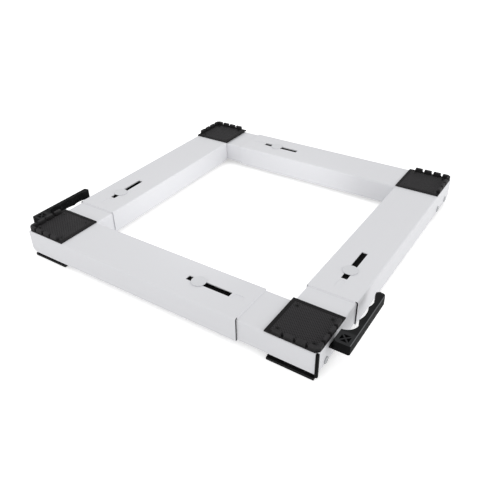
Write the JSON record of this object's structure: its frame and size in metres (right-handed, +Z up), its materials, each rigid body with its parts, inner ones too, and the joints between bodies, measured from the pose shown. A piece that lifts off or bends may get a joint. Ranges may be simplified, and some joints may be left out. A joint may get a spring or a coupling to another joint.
{
  "type": "washing machine stand",
  "caption": "Low square stand with telescoping white steel rails, black toothed corner pads, rollers and swing levers that work brake feet; a washing machine stands on it.",
  "frame": {"origin": "on the floor, in the middle of the stand's outline, levers included", "axes": "+X to the right along the front rail, +Y from the front rail to the back rail, +Z up"},
  "size_m": [0.661, 0.606, 0.0624],
  "materials": {
    "white_paint": "satin powder coat",
    "black_plastic": "fine grain",
    "pad_rubber": "fine diamond grain",
    "foot_rubber": "matt",
    "roller_nylon": "matt",
    "knob_white": "semi-gloss",
    "steel": "bright zinc",
    "dark_steel": "black oxide"
  },
  "bodies": {
    "front_left": {"front_rail_sleeve": "white_paint", "left_rail_channel": "white_paint", "left_rack": "black_plastic", "front_left_corner_block": "black_plastic", "front_left_pad": "pad_rubber", "front_left_pad_screws": "dark_steel", "front_left_axles": "steel", "front_left_lever_bolt": "steel"},
    "front_right": {"front_rail_channel": "white_paint", "front_rack": "black_plastic", "right_rail_channel": "white_paint", "right_rack": "black_plastic", "front_right_corner_block": "black_plastic", "front_right_pad": "pad_rubber", "front_right_pad_screws": "dark_steel", "front_right_axles": "steel", "front_right_lever_bolt": "steel"},
    "back_left": {"left_rail_sleeve": "white_paint", "back_rail_channel": "white_paint", "back_rack": "black_plastic", "back_left_corner_block": "black_plastic", "back_left_pad": "pad_rubber", "back_left_pad_screws": "dark_steel", "back_left_axles": "steel"},
    "back_right": {"right_rail_sleeve": "white_paint", "back_rail_sleeve": "white_paint", "back_right_corner_block": "black_plastic", "back_right_pad": "pad_rubber", "back_right_pad_screws": "dark_steel", "back_right_axles": "steel"},
    "front_left_outer_roller": {"front_left_outer_roller": "roller_nylon"},
    "front_left_inner_roller": {"front_left_inner_roller": "roller_nylon"},
    "front_right_outer_roller": {"front_right_outer_roller": "roller_nylon"},
    "front_right_inner_roller": {"front_right_inner_roller": "roller_nylon"},
    "back_left_outer_roller": {"back_left_outer_roller": "roller_nylon"},
    "back_left_inner_roller": {"back_left_inner_roller": "roller_nylon"},
    "back_right_outer_roller": {"back_right_outer_roller": "roller_nylon"},
    "back_right_inner_roller": {"back_right_inner_roller": "roller_nylon"},
    "front_left_lever": {"front_left_lever": "black_plastic"},
    "front_left_brake_slide": {"front_left_brake_slide": "steel"},
    "front_left_brake_foot": {"front_left_brake_foot": "foot_rubber"},
    "front_right_lever": {"front_right_lever": "black_plastic"},
    "front_right_brake_slide": {"front_right_brake_slide": "steel"},
    "front_right_brake_foot": {"front_right_brake_foot": "foot_rubber"},
    "front_lock_block": {"front_lock_block": "black_plastic"},
    "front_lock_knob": {"front_lock_knob": "knob_white"},
    "right_lock_block": {"right_lock_block": "black_plastic"},
    "right_lock_knob": {"right_lock_knob": "knob_white"},
    "left_lock_block": {"left_lock_block": "black_plastic"},
    "left_lock_knob": {"left_lock_knob": "knob_white"},
    "back_lock_block": {"back_lock_block": "black_plastic"},
    "back_lock_knob": {"back_lock_knob": "knob_white"}
  },
  "joints": [
    {"name": "width", "type": "slide", "parent": "front_left", "child": "front_right", "axis": [1, 0, 0], "range_m": [-0.03, 0.12]},
    {"name": "depth_left", "type": "slide", "parent": "front_left", "child": "back_left", "axis": [0, 1, 0], "range_m": [-0.03, 0.12]},
    {"name": "depth_right", "type": "slide", "parent": "front_right", "child": "back_right", "axis": [0, 1, 0], "range_m": [-0.03, 0.12]},
    {"name": "front_left_outer_roller_spin", "type": "hinge", "parent": "front_left", "child": "front_left_outer_roller", "pos_m": [-0.253, -0.272, 0.017], "axis": [1, 0, 0], "continuous": true},
    {"name": "front_left_inner_roller_spin", "type": "hinge", "parent": "front_left", "child": "front_left_inner_roller", "pos_m": [-0.253, -0.231, 0.017], "axis": [1, 0, 0], "continuous": true},
    {"name": "front_right_outer_roller_spin", "type": "hinge", "parent": "front_right", "child": "front_right_outer_roller", "pos_m": [0.253, -0.272, 0.017], "axis": [1, 0, 0], "continuous": true},
    {"name": "front_right_inner_roller_spin", "type": "hinge", "parent": "front_right", "child": "front_right_inner_roller", "pos_m": [0.253, -0.231, 0.017], "axis": [1, 0, 0], "continuous": true},
    {"name": "back_left_outer_roller_spin", "type": "hinge", "parent": "back_left", "child": "back_left_outer_roller", "pos_m": [-0.253, 0.279, 0.017], "axis": [1, 0, 0], "continuous": true},
    {"name": "back_left_inner_roller_spin", "type": "hinge", "parent": "back_left", "child": "back_left_inner_roller", "pos_m": [-0.253, 0.231, 0.017], "axis": [1, 0, 0], "continuous": true},
    {"name": "back_right_outer_roller_spin", "type": "hinge", "parent": "back_right", "child": "back_right_outer_roller", "pos_m": [0.253, 0.279, 0.017], "axis": [1, 0, 0], "continuous": true},
    {"name": "back_right_inner_roller_spin", "type": "hinge", "parent": "back_right", "child": "back_right_inner_roller", "pos_m": [0.253, 0.231, 0.017], "axis": [1, 0, 0], "continuous": true},
    {"name": "front_left_lever_swing", "type": "hinge", "parent": "front_left", "child": "front_left_lever", "pos_m": [-0.3175, -0.257, 0.048], "axis": [0, 0, 1], "range_deg": [0, 90]},
    {"name": "front_left_brake_slide_travel", "type": "slide", "parent": "front_left", "child": "front_left_brake_slide", "axis": [-1, 0, 0], "range_m": [0, 0.0055]},
    {"name": "front_left_brake_foot_lift", "type": "slide", "parent": "front_left", "child": "front_left_brake_foot", "axis": [0, 0, 1], "range_m": [0, 0.0035]},
    {"name": "front_right_lever_swing", "type": "hinge", "parent": "front_right", "child": "front_right_lever", "pos_m": [0.3175, -0.257, 0.048], "axis": [0, 0, -1], "range_deg": [0, 90]},
    {"name": "front_right_brake_slide_travel", "type": "slide", "parent": "front_right", "child": "front_right_brake_slide", "axis": [1, 0, 0], "range_m": [0, 0.0055]},
    {"name": "front_right_brake_foot_lift", "type": "slide", "parent": "front_right", "child": "front_right_brake_foot", "axis": [0, 0, 1], "range_m": [0, 0.0035]},
    {"name": "front_lock_travel", "type": "slide", "parent": "front_left", "child": "front_lock_block", "axis": [1, 0, 0], "range_m": [-0.0147, 0.0537]},
    {"name": "front_lock_turn", "type": "hinge", "parent": "front_lock_block", "child": "front_lock_knob", "pos_m": [0.063, -0.259, 0.053], "axis": [0, 0, 1], "continuous": true},
    {"name": "right_lock_travel", "type": "slide", "parent": "back_right", "child": "right_lock_block", "axis": [0, -1, 0], "range_m": [-0.0517, 0.0167]},
    {"name": "right_lock_turn", "type": "hinge", "parent": "right_lock_block", "child": "right_lock_knob", "pos_m": [0.256, -0.1035, 0.053], "axis": [0, 0, 1], "continuous": true},
    {"name": "left_lock_travel", "type": "slide", "parent": "back_left", "child": "left_lock_block", "axis": [0, -1, 0], "range_m": [-0.0527, 0.0157]},
    {"name": "left_lock_turn", "type": "hinge", "parent": "left_lock_block", "child": "left_lock_knob", "pos_m": [-0.256, -0.1045, 0.053], "axis": [0, 0, 1], "continuous": true},
    {"name": "back_lock_travel", "type": "slide", "parent": "back_right", "child": "back_lock_block", "axis": [-1, 0, 0], "range_m": [-0.0447, 0.0237]},
    {"name": "back_lock_turn", "type": "hinge", "parent": "back_lock_block", "child": "back_lock_knob", "pos_m": [-0.0965, 0.259, 0.053], "axis": [0, 0, 1], "continuous": true}
  ],
  "couplings": [
    {"joint": "depth_right", "follows": "depth_left", "ratio": 1},
    {"joint": "front_left_brake_slide_travel", "follows": "front_left_lever_swing", "m_per_rad": 0.0035014},
    {"joint": "front_left_brake_foot_lift", "follows": "front_left_lever_swing", "m_per_rad": 0.0022282},
    {"joint": "front_right_brake_slide_travel", "follows": "front_right_lever_swing", "m_per_rad": 0.0035014},
    {"joint": "front_right_brake_foot_lift", "follows": "front_right_lever_swing", "m_per_rad": 0.0022282}
  ]
}
